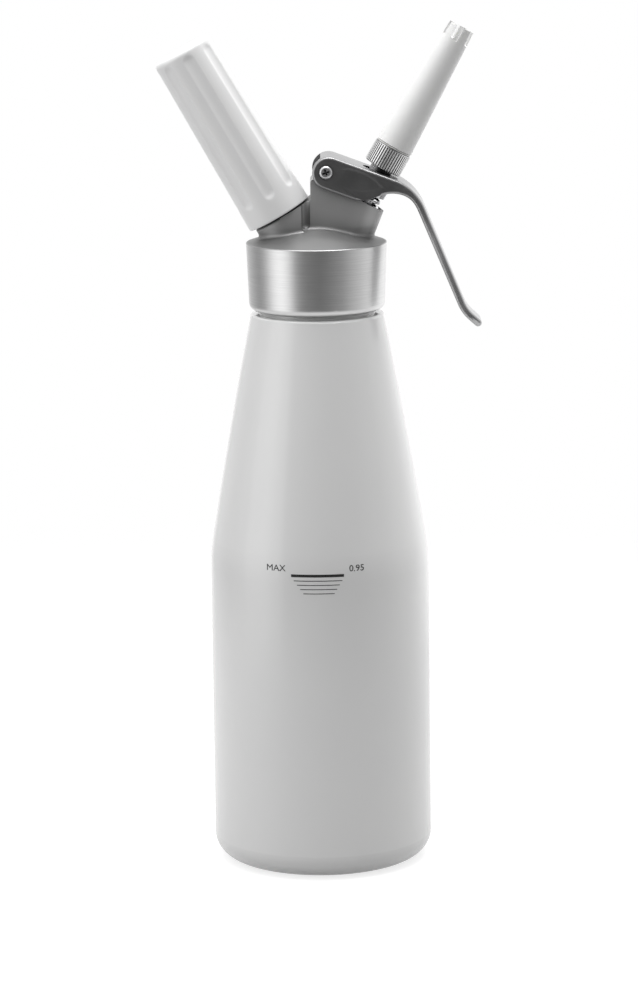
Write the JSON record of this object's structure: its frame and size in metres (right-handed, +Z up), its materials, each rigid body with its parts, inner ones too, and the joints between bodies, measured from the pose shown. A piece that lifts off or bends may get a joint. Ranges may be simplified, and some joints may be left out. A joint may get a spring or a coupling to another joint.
{
  "type": "whipped cream dispenser",
  "caption": "Bottle with a screwed head that carries a sprung lever valve, a slanted decorating tip and a slanted gas charger holder.",
  "frame": {"origin": "centre of the bottle's flat base, on the surface that it stands on", "axes": "+Z up along the bottle, +X towards the lever and the outlet, -X towards the charger holder, +Y towards the back"},
  "size_m": [0.1421, 0.098, 0.3755],
  "materials": {
    "bottle_lacquer": "glossy white lacquer over steel",
    "head_metal": "brushed collar, bead-blasted cast top",
    "black_rubber": "moulded",
    "white_plastic": "moulded",
    "holder_lacquer": "satin white lacquer",
    "charger_steel": "bright drawn steel",
    "brass": "turned",
    "polished_steel": "polished",
    "adapter_metal": "knurled and polished",
    "tip_plastic": "moulded, slightly translucent",
    "lever_metal": "cast, satin",
    "screw_steel": "turned"
  },
  "bodies": {
    "bottle": {"bottle": "bottle_lacquer"},
    "head_thread": {"head_gasket": "black_rubber"},
    "head": {"head_body": "head_metal", "stem_guide": "white_plastic", "stem_o_ring": "black_rubber", "valve_spring": "polished_steel", "holder_gasket": "black_rubber", "inlet_seal": "black_rubber", "inlet_valve": "brass", "inlet_check_sleeve": "black_rubber"},
    "charger": {"gas_charger": "charger_steel"},
    "holder": {"charger_holder": "holder_lacquer"},
    "lever": {"lever": "lever_metal", "pivot_pin": "polished_steel", "front_pivot_screw": "screw_steel", "rear_pivot_screw": "screw_steel"},
    "valve": {"valve_stem": "polished_steel", "valve_seal": "black_rubber", "seal_retainer": "polished_steel", "spring_cup": "polished_steel", "nozzle_adapter": "adapter_metal"},
    "tip_thread": {"tip_seal": "white_plastic"},
    "tip": {"decorating_tip": "tip_plastic"}
  },
  "joints": [
    {"name": "head_rise", "type": "slide", "parent": "bottle", "child": "head_thread", "axis": [0, 0, 1], "range_m": [0, 0.008]},
    {"name": "head_turn", "type": "hinge", "parent": "head_thread", "child": "head", "pos_m": [0, 0, 0.26056], "axis": [0, 0, 1], "range_deg": [0, 720]},
    {"name": "charger_rise", "type": "slide", "parent": "head", "child": "charger", "axis": [-0.5, 0, 0.866], "range_m": [0, 0.008]},
    {"name": "holder_turn", "type": "hinge", "parent": "charger", "child": "holder", "pos_m": [0, 0, 0.26326], "axis": [-0.5, 0, 0.866], "range_deg": [0, 1440]},
    {"name": "lever_press", "type": "hinge", "parent": "head", "child": "lever", "pos_m": [0.0045, 0, 0.31096], "axis": [0, 1, 0], "range_deg": [0, 12]},
    {"name": "valve_slide", "type": "slide", "parent": "head", "child": "valve", "axis": [-0.5, 0, -0.866], "range_m": [0, 0.00446], "stiffness_N_per_m": 2500, "springref_m": -0.006, "deforming": ["valve_spring"]},
    {"name": "tip_rise", "type": "slide", "parent": "valve", "child": "tip_thread", "axis": [0.5, 0, 0.866], "range_m": [0, 0.008]},
    {"name": "tip_turn", "type": "hinge", "parent": "tip_thread", "child": "tip", "pos_m": [0, 0, 0.26056], "axis": [0.5, 0, 0.866], "range_deg": [0, 1440]}
  ],
  "couplings": [
    {"joint": "head_turn", "follows": "head_rise", "rad_per_m": 1570.8},
    {"joint": "holder_turn", "follows": "charger_rise", "rad_per_m": 3141.6},
    {"joint": "tip_turn", "follows": "tip_rise", "rad_per_m": 3141.6},
    {"joint": "lever_press", "follows": "valve_slide", "rad_per_m": 46.948}
  ]
}
